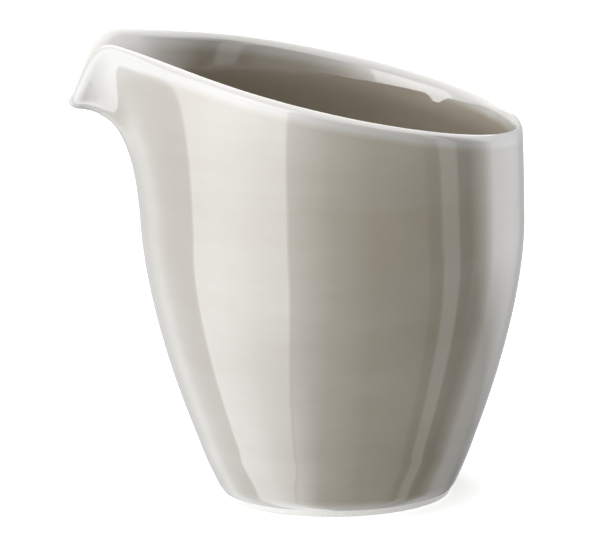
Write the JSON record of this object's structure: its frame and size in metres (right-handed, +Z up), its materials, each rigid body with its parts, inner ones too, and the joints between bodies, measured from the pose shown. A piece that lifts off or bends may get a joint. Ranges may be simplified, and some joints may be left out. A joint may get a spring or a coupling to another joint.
{
  "type": "cream jug",
  "caption": "Handleless egg-shaped porcelain cream jug with a rim that leans up to a drawn-out beak spout, on a small foot ring.",
  "frame": {"origin": "on the table under the middle of the jug's whole length, spout included", "axes": "+Z up; -X is the way the spout points; +Y across the jug"},
  "size_m": [0.0948, 0.08, 0.0983],
  "materials": {
    "bare_porcelain": "smooth unglazed",
    "taupe_glaze": "gloss",
    "inner_taupe_glaze": "gloss",
    "pale_glaze": "gloss",
    "clear_glaze": "gloss"
  },
  "bodies": {
    "root": {"porcelain_body": "bare_porcelain", "outer_glaze": "taupe_glaze", "inner_glaze": "inner_taupe_glaze", "rim_glaze": "pale_glaze", "underside_glaze": "clear_glaze"}
  },
  "joints": []
}
